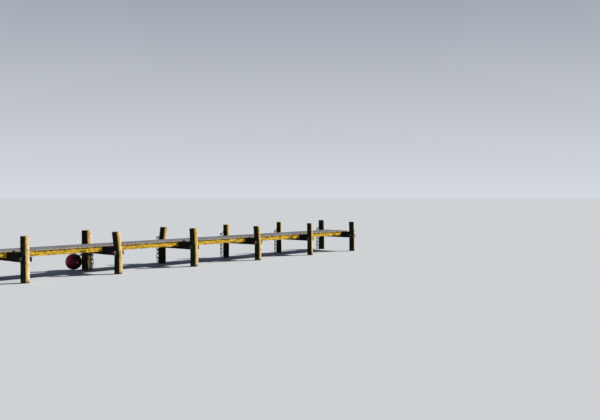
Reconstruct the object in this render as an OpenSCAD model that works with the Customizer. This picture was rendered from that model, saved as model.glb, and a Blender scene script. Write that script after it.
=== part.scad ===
// Wooden jetty on paired log posts.
// X runs along the walkway from the shore to its open end, Y across it, and Z = 0 is the foot of the posts.
// The walkway sits close to the far row of posts. The near row stands clear of it, and each pair of
// posts is clasped by two cross planks that carry the walkway.

/* [Layout] */
// Nominal distance from one pair of posts to the next
bay_l = 3000; // [2400:50:3400]
// Number of bays
bay_count = 6; // [3:1:6]
// Distance between the two rows of posts, axis to axis
row_w = 1650; // [1500:50:2200]
// Height of the walking surface above the foot of the posts
deck_z = 850; // [760:10:1000]

/* [Posts] */
// Nominal diameter of the near row's logs
near_post_d = 225; // [200:5:260]
// Nominal diameter of the far row's logs
far_post_d = 240; // [220:5:260]
// Nominal height of the posts
post_h = 1250; // [1150:10:1500]
// How deep the cross planks are let into the thinnest log
seat_depth = 6; // [2:1:15]

/* [Cross planks] */
// Thickness of a cross plank
cross_t = 80; // [50:5:100]
// Depth of a cross plank
cross_h = 240; // [180:5:300]
// How far a cross plank runs past the near post's axis
cross_near_end = 50; // [30:5:150]
// How far a cross plank runs past the far post's axis
cross_far_end = 120; // [40:5:150]

/* [Walkway] */
// Thickness of the deck boards
board_t = 40; // [25:1:60]
// Width of an edge beam
beam_w = 80; // [50:5:120]
// Depth of an edge beam
beam_h = 155; // [100:5:170]
// How far the boards overhang the edge beams
board_overhang = 25; // [0:5:60]
// How far the deck runs past the end cross planks
deck_end = 25; // [0:5:60]
// Clearance between the deck's far edge and the thickest far post
deck_gap = 10; // [5:1:40]

/* [Mooring chains] */
// Diameter of the bar that a chain link is bent from
link_bar_d = 24; // [16:1:26]
// Outer length of a chain link
link_l = 191; // [170:1:200]
// Outer width of a chain link
link_w = 104; // [90:1:110]
// Diameter of the iron hook that holds a chain
hook_bar_d = 22; // [12:1:26]
// Distance of a hanging chain from its post's axis
chain_reach = 260; // [250:5:320]
// Height of a hook's root above the deck
hook_rise = 150; // [100:5:220]

/* [Ball fender] */
// Diameter of the ball fender
fender_d = 510; // [300:5:520]
// Height of the ball's lowest point above the foot of the posts
fender_lift = 15; // [5:5:60]
// Diameter of the rope that ties the fender
rope_d = 16; // [10:1:20]

/* [Hidden] */
frame_count = bay_count + 1;

// How each log differs from the nominal one, from the shore outwards: diameter, height, lean of its
// head along the walkway, and bow of its middle
near_d_diff = [5, 15, 20, 35, 20, -10, 0];
near_h_diff = [10, 25, 25, 25, -5, 10, -15];
near_lean = [20, -5, -83, -45, -75, -30, -35];
near_bow = [0, 5, 46, 15, 30, 12, 8];
far_d_diff = [-10, 0, 70, 20, -15, -35, 5];
far_h_diff = [0, 5, 15, 15, 5, 15, 20];
far_lean = [-15, 10, 0, 84, 10, 0, -15];
far_bow = [0, 5, 0, -39, 5, 0, 6];

// How far each pair of posts was driven off its place along the walkway
frame_shift = [0, 0, 0, 15, 70, 50, -170];
// Distance from the near row's axis to each bay's near edge beam
bay_inset = [650, 540, 600, 450, 390, 410];
// How much farther out than the nominal reach each chain hangs
chain_reach_diff = [0, 0, 0, 40, 5, -55, -30];

// A log's foot and head against its middle, and where the middle ring sits as a share of its height
foot_swell = 1.02;
head_taper = 0.98;
bow_at = 0.45;
log_sides = 32;
ring_t = 1;

cross_top = deck_z - board_t;
cross_mid = cross_top - cross_h / 2;

// One log as its rings from foot to head: offset along X, height and radius
function log_rings(d, h, lean, bow) = [
    [0, 0, d / 2 * foot_swell],
    [bow_at * lean + bow, bow_at * h, d / 2],
    [lean, h - ring_t, d / 2 * head_taper]
];
function near_rings(k) = log_rings(near_post_d + near_d_diff[k - 1], post_h + near_h_diff[k - 1],
    near_lean[k - 1], near_bow[k - 1]);
function far_rings(k) = log_rings(far_post_d + far_d_diff[k - 1], post_h + far_h_diff[k - 1],
    far_lean[k - 1], far_bow[k - 1]);

// A log's offset along X (item 0) or its radius (item 2) at a height
function log_at(rings, z, item) = lookup(z, [for (ring = rings) [ring[1], ring[item]]]);

// Clear space between the two planks that clasp each pair of posts
thinnest_r = min([
    for (k = [1:frame_count])
        min(log_at(near_rings(k), cross_top, 2), log_at(far_rings(k), cross_top, 2))
]);
clasp_gap = 2 * (thinnest_r - seat_depth);
cross_out = clasp_gap / 2 + cross_t;

// Along the walkway, with the whole part centred on X = 0
run_l = bay_count * bay_l + frame_shift[bay_count] + frame_shift[0];
function frame_x(k) = (k - 1) * bay_l + frame_shift[k - 1] - run_l / 2;

// The fender hangs at the third pair of posts. Its ball leans on the outer side of the far post
fender_frame = 3;
fender_turn = 128;
fender_clear = 8;
fender_r = fender_d / 2;
fender_z = fender_lift + fender_r;
fender_away = log_at(far_rings(fender_frame), fender_z, 2) + fender_clear + fender_r;

// Across the walkway, with the whole part centred on Y = 0
function widest(rings_of) = max([for (rings = rings_of) rings[0][2]]);
near_widest = widest([for (k = [1:frame_count]) near_rings(k)]);
far_widest = widest([for (k = [1:frame_count]) far_rings(k)]);
far_reach = fender_away * sin(fender_turn) + fender_r;
near_y = -(row_w + far_reach - near_widest) / 2;
far_y = near_y + row_w;
deck_far_y = far_y - far_widest - deck_gap;

// One driven log, straight between its rings, with its clasped height on the line of its pair
module log_post(rings) {
    centre_x = log_at(rings, cross_mid, 0);
    for (i = [0:len(rings) - 2])
        hull()
            for (ring = [rings[i], rings[i + 1]])
                translate([ring[0] - centre_x, 0, ring[1]])
                    cylinder(h = ring_t, r = ring[2], $fn = log_sides);
}

// The two planks that clasp a pair of posts, uncut by the hook. The shoreward one has the upper corner
// of its near end sawn off, and the seaward one is halved there
module clasp(k) {
    corner_run = 70;
    halving_run = 180;
    end_drop = 110;
    y0 = near_y - cross_near_end;
    y1 = far_y + cross_far_end;
    end_z = cross_top - end_drop;
    blank = [[y0, cross_top - cross_h], [y1, cross_top - cross_h], [y1, cross_top]];
    sawn = [[y0 + corner_run, cross_top], [y0, end_z]];
    halved = [[y0 + halving_run, cross_top], [y0 + halving_run, end_z], [y0, end_z]];
    for (plank = [[-cross_out, sawn], [clasp_gap / 2, halved]])
        translate([frame_x(k) + plank[0], 0, 0])
            rotate([90, 0, 90])
                linear_extrude(cross_t)
                    polygon(concat(blank, plank[1]));
}

module cross_planks(k) {
    color("#4a3c24")
        difference() {
            clasp(k);
            if (on_plank(k)) hook_bore(k);
        }
}

module near_post(k) {
    color("#6e5a2c")
        difference() {
            translate([frame_x(k), near_y, 0])
                log_post(near_rings(k));
            clasp(k);
        }
}

module far_post(k) {
    color("#5c4c2a")
        difference() {
            translate([frame_x(k), far_y, 0])
                log_post(far_rings(k));
            clasp(k);
            if (!on_plank(k)) hook_bore(k);
        }
}

// The near and the far edge beam of one bay, butted between the cross planks
module edge_beams(b) {
    x0 = frame_x(b) + cross_out;
    x1 = frame_x(b + 1) - cross_out;
    near_beam_y = near_y + bay_inset[b - 1];
    far_beam_y = deck_far_y - board_overhang - beam_w;
    color("#9a7a22")
        for (y = [near_beam_y, far_beam_y])
            translate([x0, y, cross_top - beam_h])
                cube([x1 - x0, beam_w, beam_h]);
}

// The boards of one bay, laid side by side as one slab from frame to frame
module deck_bay(b) {
    x0 = frame_x(b) - (b == 1 ? cross_out + deck_end : 0);
    x1 = frame_x(b + 1) + (b == bay_count ? cross_out + deck_end : 0);
    y0 = near_y + bay_inset[b - 1] - board_overhang;
    color("#8f8578")
        translate([x0, y0, cross_top])
            cube([x1 - x0, deck_far_y - y0, board_t]);
}

// A round rod from one point to another
module rod(p, q, d) {
    run = q - p;
    translate(p)
        rotate([0, acos(run[2] / norm(run)), atan2(run[1], run[0])])
            cylinder(h = norm(run), d = d);
}

// The hook of one chain: driven level into its log, sloping down and outwards, turned up at its tip.
// At the fender's pair it is driven into the seaward plank, level all the way and a little past the
// post's axis, and its chain hangs beside that plank
chain_clear = 8;
hook_drop = 120;
plank_hook_drop = 73;
plank_hook_y = 60;
hook_bed = 60;
hook_neck = 20;
hook_half_l = 18;
hook_tip = 30;
knuckle_swell = 6;

function on_plank(k) = k == fender_frame;
function hook_z(k) = on_plank(k) ? cross_top - plank_hook_drop : deck_z + hook_rise;
function hook_wall(k) = on_plank(k) ? cross_out : log_at(far_rings(k), hook_z(k), 2);
function chain_out(k) = on_plank(k)
    ? cross_out + chain_clear + link_w / 2
    : chain_reach + chain_reach_diff[k - 1];
function hook_fall(k) = on_plank(k) ? 0 : hook_drop;
function hook_points(k) =
    let (wall = hook_wall(k), out = chain_out(k), fall = hook_fall(k))
    concat(
        [[wall - hook_bed, 0, 0]],
        on_plank(k) ? [] : [[wall + hook_neck, 0, 0], [out - hook_half_l, 0, -fall]],
        [[out + hook_half_l, 0, -fall], [out + hook_half_l + hook_tip, 0, hook_tip - fall]]
    );

module at_hook(k) {
    rings = far_rings(k);
    lean_x = on_plank(k) ? 0 : log_at(rings, hook_z(k), 0) - log_at(rings, cross_mid, 0);
    translate([frame_x(k) + lean_x, far_y + (on_plank(k) ? plank_hook_y : 0), hook_z(k)])
        rotate([0, 0, on_plank(k) ? 0 : 90])
            children();
}

module hook_bore(k) {
    at_hook(k)
        rod(hook_points(k)[0], hook_points(k)[1], hook_bar_d);
}

module chain_hook(k) {
    points = hook_points(k);
    for (i = [0:len(points) - 2])
        rod(points[i], points[i + 1], hook_bar_d);
    for (i = [1:len(points) - 1])
        translate(points[i])
            sphere(d = hook_bar_d + knuckle_swell);
}

// One long link, standing in the YZ plane with its centre at the origin
module chain_link() {
    bend_r = (link_w - link_bar_d) / 2;
    side_l = link_l - link_w;
    for (end = [0, 1])
        mirror([0, 0, end])
            translate([0, 0, side_l / 2])
                rotate([90, 0, 90])
                    rotate_extrude(angle = 180)
                        translate([bend_r, 0])
                            circle(d = link_bar_d);
    for (side = [-1, 1])
        translate([0, side * bend_r, -side_l / 2])
            cylinder(h = side_l, d = link_bar_d);
}

// The links hang one in another, each turned a quarter, and end just above the foot of the posts
link_play = 1;
chain_foot = 6;
link_pitch = link_l - 2 * link_bar_d - link_play;
function chain_top(k) = hook_z(k) - hook_fall(k) + hook_bar_d / 2 + link_play + link_bar_d;
function link_count(k) = floor((chain_top(k) - chain_foot - link_l) / link_pitch) + 1;

module mooring_chain(k) {
    color("#3a332e")
        at_hook(k) {
            chain_hook(k);
            translate([chain_out(k), 0, chain_top(k) - hook_z(k) - link_l / 2])
                for (i = [0:link_count(k) - 1])
                    translate([0, 0, -i * link_pitch])
                        rotate([0, 0, 90 * (i % 2)])
                            chain_link();
        }
}

// The fender's moulded neck and eye lean up towards the post, and the rope runs through the eye
neck_d = 84;
neck_l = 26;
eye_d = 64;
eye_bar_d = 18;
neck_tilt = 45;
eye_away = fender_r + neck_l + eye_d / 2 - eye_bar_d / 2;
eye_z = fender_z + eye_away * sin(neck_tilt);
eye_x = fender_away - eye_away * cos(neck_tilt);

module ball_fender() {
    color("#5a1620")
        translate([frame_x(fender_frame), far_y, 0])
            rotate([0, 0, fender_turn])
                translate([fender_away, 0, fender_z]) {
                    sphere(r = fender_r);
                    rotate([0, neck_tilt - 90, 0]) {
                        translate([0, 0, fender_r - neck_l])
                            cylinder(h = 2 * neck_l, d1 = neck_d, d2 = eye_bar_d);
                        translate([0, 0, eye_away])
                            rotate([90, 0, 0])
                                rotate_extrude()
                                    translate([(eye_d - eye_bar_d) / 2, 0])
                                        circle(d = eye_bar_d);
                    }
                }
}

// Two tight turns of rope on the post, and below them a wider turn that runs through the eye
module fender_rope() {
    turn_gap = 1;
    turn_rise = rope_d + turn_gap;
    tight_r = log_at(far_rings(fender_frame), eye_z, 2) + rope_d / 2;
    loop_r = (tight_r + eye_x) / 2;
    color("#d8d0c0")
        translate([frame_x(fender_frame), far_y, eye_z])
            rotate([0, 0, fender_turn]) {
                rope_turn(loop_r, eye_x - loop_r, 0);
                rope_turn(tight_r, 0, turn_rise);
                rope_turn(tight_r, 0, 2 * turn_rise);
            }
}

module rope_turn(r, x, z) {
    translate([x, 0, z])
        rotate_extrude()
            translate([r, 0])
                circle(d = rope_d);
}

for (k = [1:frame_count]) {
    near_post(k);
    far_post(k);
    cross_planks(k);
    mooring_chain(k);
}
for (b = [1:bay_count]) {
    edge_beams(b);
    deck_bay(b);
}
ball_fender();
fender_rope();
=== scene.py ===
"""A wooden jetty on paired log posts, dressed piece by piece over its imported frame."""
import math

import bpy
import numpy as np
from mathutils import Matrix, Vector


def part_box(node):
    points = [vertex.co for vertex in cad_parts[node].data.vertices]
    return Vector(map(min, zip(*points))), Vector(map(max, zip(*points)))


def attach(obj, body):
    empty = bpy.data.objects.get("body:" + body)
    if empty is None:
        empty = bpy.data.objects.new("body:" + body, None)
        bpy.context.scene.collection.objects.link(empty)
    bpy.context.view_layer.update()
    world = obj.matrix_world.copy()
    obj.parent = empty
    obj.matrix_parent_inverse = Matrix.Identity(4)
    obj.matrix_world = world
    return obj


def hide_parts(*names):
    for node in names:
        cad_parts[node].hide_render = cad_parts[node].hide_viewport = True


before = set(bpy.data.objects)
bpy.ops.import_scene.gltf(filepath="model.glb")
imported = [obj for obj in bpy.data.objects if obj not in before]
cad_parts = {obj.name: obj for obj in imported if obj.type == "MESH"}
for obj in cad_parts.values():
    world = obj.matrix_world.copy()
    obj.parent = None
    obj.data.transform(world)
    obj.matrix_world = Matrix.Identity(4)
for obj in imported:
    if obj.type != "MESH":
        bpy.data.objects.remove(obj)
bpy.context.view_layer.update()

# The viewpoint
# The camera stands on the shore side, 2.4 m above the posts' feet and about 21 m from the second
# pair of posts, and looks out along the walkway and a little down.
EYE = (-16.14, -19.539, 2.404)
AIM_TURN = math.radians(49.533)
AIM_DOWN = math.radians(1.24)
camera_data = bpy.data.cameras.new("view")
camera_data.lens = 44.0
camera_data.sensor_width = 36.0
camera_data.clip_end = 500.0
camera = bpy.data.objects.new("view", camera_data)
camera.location = EYE
camera.rotation_euler = (math.pi / 2 - AIM_DOWN, 0.0, -AIM_TURN)
bpy.context.collection.objects.link(camera)
bpy.context.scene.camera = camera

# The floor and the light
# A pale floor at the posts' feet, one soft low key light from the right, and a dim even studio
# round it that is palest low down.
FLOOR_R = 400.0
FLOOR_SIDES = 96


def full_turn(count):
    """Angles spread evenly round one turn."""
    return np.arange(count) * 2 * np.pi / count


floor_turn = full_turn(FLOOR_SIDES)
floor_rim = np.stack([np.cos(floor_turn), np.sin(floor_turn), 0 * floor_turn], -1) * FLOOR_R
floor_mesh = bpy.data.meshes.new("floor")
floor_mesh.from_pydata(floor_rim, [], [range(FLOOR_SIDES)])
floor = bpy.data.objects.new("floor", floor_mesh)
bpy.context.collection.objects.link(floor)
floor_finish = bpy.data.materials.new("pale_floor")
floor_finish.use_nodes = True
floor_shader = floor_finish.node_tree.nodes["Principled BSDF"]
floor_shader.inputs["Base Color"].default_value = (0.385, 0.42, 0.48, 1)
floor_shader.inputs["Roughness"].default_value = 1.0
floor_shader.inputs["Specular IOR Level"].default_value = 0.0
floor_mesh.materials.append(floor_finish)

SUN_AZIMUTH = math.radians(-27)
SUN_HEIGHT = math.radians(35)
sun_data = bpy.data.lights.new("sun", "SUN")
sun_data.energy = 8.0
sun_data.angle = math.radians(3)
sun_data.color = (1.0, 0.92, 0.78)
sun = bpy.data.objects.new("sun", sun_data)
sun.rotation_euler = (math.pi / 2 - SUN_HEIGHT, 0, math.pi / 2 + SUN_AZIMUTH)
bpy.context.collection.objects.link(sun)

world = bpy.data.worlds.new("studio")
bpy.context.scene.world = world
world.use_nodes = True
studio = world.node_tree
studio.nodes["Background"].inputs["Strength"].default_value = 1.0
studio_place = studio.nodes.new("ShaderNodeTexCoord")
studio_split = studio.nodes.new("ShaderNodeSeparateXYZ")
studio_tone = studio.nodes.new("ShaderNodeValToRGB")
studio_tone.color_ramp.elements[0].position = 0.0
studio_tone.color_ramp.elements[0].color = (0.66, 0.69, 0.74, 1)
studio_tone.color_ramp.elements[1].position = 0.45
studio_tone.color_ramp.elements[1].color = (0.13, 0.16, 0.22, 1)
studio.links.new(studio_place.outputs["Generated"], studio_split.inputs[0])
studio.links.new(studio_split.outputs["Z"], studio_tone.inputs["Fac"])
studio.links.new(studio_tone.outputs["Color"], studio.nodes["Background"].inputs["Color"])
bpy.context.scene.view_settings.view_transform = "Standard"

# The log posts
# Fourteen softwood logs driven in two rows, peeled of their bark and sawn level at the head. Drying
# has opened long checks in them. Their colour is painted by how each side faces the sun: gold on the
# sunlit side, greying at its sunniest edge partly from bleaching and partly as a painted highlight,
# and painted shade near black with mossy growth on the other.
FRAMES = range(1, 1 + sum(name.startswith("near_post_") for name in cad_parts))
CROSS_T = 0.080
CORNER_RUN = 0.070
HALVING_RUN = 0.180
END_DROP = 0.110
EDGE_STEP = 0.0004
SEAT_IN = 0.022
BOW_AT = 0.45
RING_BAND = 0.0015
SEAT_BAND = 0.0001
LOG_ROWS = 104
LOG_COLUMNS = 60
FOOT_INSETS = (0.3, 0.62, 0.93)
HEAD_INSETS = (0.95, 0.84, 0.68, 0.5, 0.32, 0.16, 0.05)
HEAD_SLANT = 0.045
RIM_R = 0.007
RIM_INSET = 0.985
RIM_SHARE = 0.3
SPIRAL = 0.16
WAVER = 0.05
SHRUNK = 0.982
FLUTES = (0.010, 0.007)
OVALS = ((0.012, 2), (0.006, 3))
PHASES = (0, 6)
LOG_CHECKS = 11
CHECK_PLAY = (0.15, 0.85)
CHECK_CLEAR = 0.045
CHECK_REACH = (0.18, 0.75)
CHECK_MIDDLE = (0.1, 1.0)
CHECK_DEEP = (0.35, 1.0)
CHECK_DEPTH = 0.016
CHECK_HALF_W = 0.0022
CHECK_SHUT = 0.12
# Checks are painted darker the deeper they are: partly dirt, partly painted shade in the crack.
CHECK_DARK = 1.4
LOG_KNOTS = 8
KNOT_AT = (0.05, 0.97)
KNOT_R = (0.016, 0.032)
KNOT_LONG = 1.35
KNOT_SWELL = 0.03
RING_PITCH = 0.0045
# How much of its painted sunlit side each post carries, near row and far row: painted light and shade.
NEAR_BLEACH = (1.0, 1.0, 1.0, 1.0, 1.0, 0.87, 0.68)
FAR_BLEACH = (1.0, 1.0, 1.0, 1.0, 1.0, 0.72, 0.66)
NEAR_FRESH = (0.2, 0.1, 0.6, 0.9, 1.0, 0.1, 0.3)
FAR_FRESH = (0.3, 0.3, 0.0, 0.55, 0.9, 0.9, 0.3)
FRESH_FOOT = 0.3
FRESH_RISE = 0.9
# Under the deck the far posts' painted sunlit side is cut to this share: a painted shadow of the deck. The
# third far post holds nearly all of it, as painted light from the water.
UNDER_DECK = (0.45, 0.45, 0.95, 0.45, 0.45, 0.45, 0.45)
UNDER_FADE = 0.05
STAIN_SPREAD = 1.6
# Round the back of each log, turned from both sun and camera, the painted shade gives way to a lighter
# brown: the middle of that side and how far it spreads.
DRY_TURN = math.radians(78)
DRY_EDGE = 0.74
sun_flat = np.array([math.cos(SUN_AZIMUTH), math.sin(SUN_AZIMUTH)])


def cad_points(node):
    """The points of a CAD node, one row of x, y and z each."""
    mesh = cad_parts[node].data
    points = np.empty(3 * len(mesh.vertices), np.float32)
    mesh.vertices.foreach_get("co", points)
    return points.reshape(-1, 3).astype(float)


def wrapped(angle):
    """An angle brought to within half a turn of 0."""
    return (angle + np.pi) % (2 * np.pi) - np.pi


def soft_noise(rng, u, v, rows, columns, wrap=False):
    """Random numbers on a lattice, blended between its corners by a smooth step in u and in v, which
    both run from 0 to 1. With wrap the lattice closes on itself in v."""
    lattice = rng.uniform(-1, 1, (rows + 1, columns + 1))
    if wrap:
        lattice[:, -1] = lattice[:, 0]
    u, v = np.broadcast_arrays(np.clip(u, 0, 1) * rows, np.clip(v, 0, 1) * columns)
    i = np.minimum(u.astype(int), rows - 1)
    j = np.minimum(v.astype(int), columns - 1)
    s = (u - i) ** 2 * (3 - 2 * (u - i))
    t = (v - j) ** 2 * (3 - 2 * (v - j))
    low = lattice[i, j] * (1 - t) + lattice[i, j + 1] * t
    high = lattice[i + 1, j] * (1 - t) + lattice[i + 1, j + 1] * t
    return low * (1 - s) + high * s


class Piece:
    """Closed skins gathered into one mesh, with numbers marked on its points for the material."""

    def __init__(self, *marks):
        self.points, self.quads, self.fans, self.count = [], [], [], 0
        self.marks = {mark: [] for mark in marks}

    def skin(self, grid, **marks):
        """Joins the rings of a grid, row to row and each round to its own start, and closes the first
        and the last ring with a fan about its middle point."""
        rows, around = grid.shape[:2]
        j = np.arange(around)
        k = (j + 1) % around
        rise = np.arange(rows - 1)[:, None] * around
        last = (rows - 1) * around
        quads = np.stack([rise + j, rise + k, rise + around + k, rise + around + j], -1).reshape(-1, 4)
        foot = np.stack([k, j, np.full(around, rows * around)], -1)
        head = np.stack([last + j, last + k, np.full(around, rows * around + 1)], -1)
        self.quads.append(quads + self.count)
        self.fans.append(np.concatenate([foot, head]) + self.count)
        self.points.append(np.concatenate([grid.reshape(-1, 3), [grid[0].mean(0), grid[-1].mean(0)]]))
        for mark, rows_of in self.marks.items():
            value = np.broadcast_to(marks.get(mark, 0.0), (rows, around))
            rows_of.append(np.concatenate([value.ravel(), [value[0].mean(), value[-1].mean()]]))
        self.count += rows * around + 2

    def ring(self, grid, **marks):
        """Joins the rings of a grid as a skin does, and its last row to its first, so it has no ends."""
        rows, around = grid.shape[:2]
        i, j = np.meshgrid(np.arange(rows), np.arange(around), indexing="ij")
        k, m = (i + 1) % rows, (j + 1) % around
        corners = [i * around + j, i * around + m, k * around + m, k * around + j]
        self.quads.append(np.stack(corners, -1).reshape(-1, 4) + self.count)
        self.points.append(grid.reshape(-1, 3))
        for mark, rows_of in self.marks.items():
            rows_of.append(np.broadcast_to(marks.get(mark, 0.0), (rows, around)).ravel())
        self.count += rows * around

    def build(self, name, slot, finish, *nodes, crease=math.radians(42)):
        quads = np.concatenate(self.quads)
        fans = np.concatenate([np.zeros((0, 3), int), *self.fans])
        corners = np.concatenate([quads.ravel(), fans.ravel()])
        starts = np.concatenate([4 * np.arange(len(quads)), quads.size + 3 * np.arange(len(fans))])
        mesh = bpy.data.meshes.new(name)
        mesh.vertices.add(self.count)
        mesh.vertices.foreach_set("co", np.concatenate(self.points).astype(np.float32).ravel())
        mesh.loops.add(len(corners))
        mesh.loops.foreach_set("vertex_index", corners.astype(np.int32))
        mesh.polygons.add(len(starts))
        mesh.polygons.foreach_set("loop_start", starts.astype(np.int32))
        mesh.polygons.foreach_set("use_smooth", np.ones(len(starts), bool))
        mesh.update(calc_edges=True)
        mesh.validate()
        mesh.set_sharp_from_angle(angle=crease)
        for mark, rows_of in self.marks.items():
            values = mesh.attributes.new(mark, "FLOAT", "POINT")
            values.data.foreach_set("value", np.concatenate(rows_of).astype(np.float32))
        made = bpy.data.objects.new(name, mesh)
        bpy.context.collection.objects.link(made)
        mesh.materials.append(finish)
        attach(made, "root")
        if nodes:
            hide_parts(*nodes)


class Socket:
    """A socket of a material. An expression on it adds its Math nodes."""

    def __init__(self, finish, output):
        self.finish, self.output = finish, output

    def maths(self, operation, *others):
        return self.finish.node("Math", {"operation": operation}, dict(enumerate((self, *others))))

    def __add__(self, other):
        return self.maths("ADD", other)

    def __sub__(self, other):
        return self.maths("SUBTRACT", other)

    def __rsub__(self, other):
        return self.finish.node("Math", {"operation": "SUBTRACT"}, {0: other, 1: self})

    def __mul__(self, other):
        return self.maths("MULTIPLY", other)

    def __pow__(self, other):
        return self.maths("POWER", other)

    __radd__ = __add__

    def over(self, low, high):
        """0 up to low, 1 from high on, and a smooth step between them. high may be the lower one."""
        flip = low > high
        step = self.finish.node("MapRange", {"interpolation_type": "SMOOTHSTEP"},
                                {0: self, 1: min(low, high), 2: max(low, high)})
        return 1 - step if flip else step


class Finish:
    """A material with one Principled shader, fed by sockets."""

    def __init__(self, name, **constants):
        self.material = bpy.data.materials.new(name)
        self.material.use_nodes = True
        self.tree = self.material.node_tree
        self.shader = self.tree.nodes["Principled BSDF"]
        for socket, value in constants.items():
            self.shader.inputs[socket.replace("_", " ")].default_value = value
        self.place = self.node("TexCoord", output="Object")

    def node(self, kind, settings=None, values=None, output=0):
        """Adds a node of a type, sets it, then gives its inputs their values or links."""
        made = self.tree.nodes.new("ShaderNode" + kind)
        for key, value in (settings or {}).items():
            setattr(made, key, value)
        for key, value in (values or {}).items():
            if isinstance(value, Socket):
                self.tree.links.new(value.output, made.inputs[key])
            else:
                made.inputs[key].default_value = value
        return Socket(self, made.outputs[output])

    def marks(self, *names):
        """The numbers marked on the piece's points under these names, one socket each."""
        return [self.node("Attribute", {"attribute_name": name}, output="Fac") for name in names]

    def height(self):
        """The height above the posts' feet."""
        return self.node("SeparateXYZ", values={0: self.place}, output=2)

    def stretched(self, scale, shift=None):
        """Object coordinates multiplied along each axis, moved on by a shift for each piece."""
        long = self.node("VectorMath", {"operation": "MULTIPLY"}, {0: self.place, 1: scale})
        return self.node("VectorMath", {"operation": "ADD"}, {0: long, 1: shift}) if shift else long

    def noise(self, scale, detail, rough, warp=0.0, shift=None):
        """Noise with about so many cells a metre along each axis."""
        return self.node("TexNoise", values={"Vector": self.stretched(scale, shift), "Scale": 1.0,
                                             "Detail": detail, "Roughness": rough, "Distortion": warp})

    def growth(self, pith, pitch):
        """Growth rings: a sine of the distance from the pith."""
        return (pith * (2 * math.pi / pitch)).maths("SINE")

    def mix(self, low, high, share):
        """The colour low, passing to high as the share goes from 0 to 1."""
        low, high = (colour if isinstance(colour, Socket) else (*colour, 1) for colour in (low, high))
        return self.node("Mix", {"data_type": "RGBA"}, {0: share, 6: low, 7: high}, output=2)

    def wire(self, relief, depth, **sockets):
        """Feeds the shader's sockets, and its normal from the relief by a Bump of a depth in metres."""
        bump = self.node("Bump", values={"Strength": 1.0, "Distance": depth, "Height": relief})
        for key, value in (sockets | {"Normal": bump}).items():
            self.tree.links.new(value.output, self.shader.inputs[key.replace("_", " ")])
        return self.material


def log_finish():
    """Grain streaks stretched up the log, in gold from fresh to dry, under dark spots, mossy growth,
    the chain's stain, knots, checks and damp. By how each point faces the sun the colour passes from
    painted shade, near black, through a brown band into gold on the sunlit side, which greys at its
    sunniest edge partly from bleaching and partly as a painted highlight. Round the back, turned from
    both sun and camera, the painted shade gives way to a lighter brown. Checks darken with their depth,
    partly with dirt and partly as painted shade."""
    wood = Finish("peeled_log", Specular_IOR_Level=0.12)
    sunny, check, knot, cut, pith = wood.marks("sunny", "check", "knot", "cut", "pith")
    own, fresh, stain, dried = wood.marks("own", "fresh", "stain", "dried")
    shift = own * 17.0
    streak = wood.noise((95, 95, 5), 6, 0.62, 0.4, shift)
    fibre = wood.noise((420, 420, 16), 3, 0.6, 0.0, shift)
    mottle = wood.noise((26, 26, 17), 5, 0.6, 0.6, shift)
    speck = wood.noise((120, 120, 95), 3, 0.6, 0.0, shift)
    cloud = wood.noise((7, 7, 3.4), 3, 0.5, 0.0, shift)
    blot = wood.noise((38, 38, 22), 4, 0.62, 0.8, shift + 5.0)
    grain = (streak * 0.6 + mottle * 0.5).over(0.38, 0.70)
    dry = wood.mix((0.32, 0.19, 0.032), (0.74, 0.57, 0.18), grain)
    gilt = wood.mix((0.27, 0.14, 0.010), (0.68, 0.46, 0.045), grain)
    gold = wood.mix(dry, gilt, fresh)
    faded = (cloud * 0.6 + streak * 0.5).over(0.53, 0.72) * (0.8 - fresh * 0.7)
    pale = wood.mix(gold, (0.84, 0.75, 0.46), faded)
    grey = wood.mix((0.27, 0.24, 0.20), (0.58, 0.54, 0.47), grain)
    # The most sun-facing edge greys: partly bleaching, partly a painted highlight.
    sunward = sunny + (streak - 0.5) * 0.2 + (cloud - 0.5) * 0.2
    bleached = wood.mix(pale, grey, sunward.over(0.70, 0.90) * (0.85 - fresh * 0.6))
    spots = (blot * 0.8 + speck * 0.3).over(0.58, 0.66)
    spotted = wood.mix(bleached, (0.070, 0.034, 0.008), spots * 0.85)
    coarse = streak * 0.7 + mottle * 0.4
    # The side turned from the sun is painted near black as painted shade, with moss; round the back it
    # turns a lighter brown instead.
    shade = wood.mix((0.004, 0.004, 0.004), (0.034, 0.025, 0.017), coarse.over(0.46, 0.84))
    aired = wood.mix((0.040, 0.030, 0.020), (0.20, 0.165, 0.12), coarse.over(0.40, 0.74))
    lee = wood.mix(shade, aired, dried)
    mossy = wood.mix(lee, (0.016, 0.023, 0.008), (cloud + mottle * 0.4).over(0.62, 0.82) * 0.7)
    # By the sun-facing mark the colour passes from the painted shade through a brown band into the painted
    # sunlit gold.
    rim = sunny + (streak - 0.5) * 0.26 + (mottle - 0.5) * 0.14
    brown = wood.mix(mossy, (0.075, 0.038, 0.012), rim.over(0.44, 0.52))
    bare = wood.mix(brown, spotted, rim.over(0.50, 0.58))
    streaked = (stain + (streak + mottle - 1) * 0.35).over(0.28, 0.46)
    chained = wood.mix(bare, (0.016, 0.010, 0.006), streaked * 0.9)
    knotted = (knot + (mottle - 0.5) * 0.3).over(0.35, 0.75)
    knotty = wood.mix(chained, (0.035, 0.018, 0.007), knotted * 0.85)
    ring = wood.growth(pith + (mottle - 0.5) * 0.012, RING_PITCH)
    grown = (ring * 0.16 + mottle * 0.9).over(0.22, 0.78)
    topped = wood.mix(knotty, wood.mix((0.085, 0.066, 0.044), (0.27, 0.22, 0.155), grown), cut)
    # Checks darken with their depth: partly dirt, partly painted shade in the crack.
    split = wood.mix(topped, (0.010, 0.007, 0.005), check)
    damp = (wood.height() + (mottle - 0.5) * 0.12).over(0.13, 0.01)
    wet = wood.mix(split, (0.022, 0.024, 0.012), damp * 0.8)
    relief = streak * 0.5 + fibre * 0.3 + mottle * 0.25 + ring * cut * 0.05
    return wood.wire(relief, 0.005, Base_Color=wet, Roughness=0.92 - damp * 0.45 - speck * 0.1)


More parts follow.
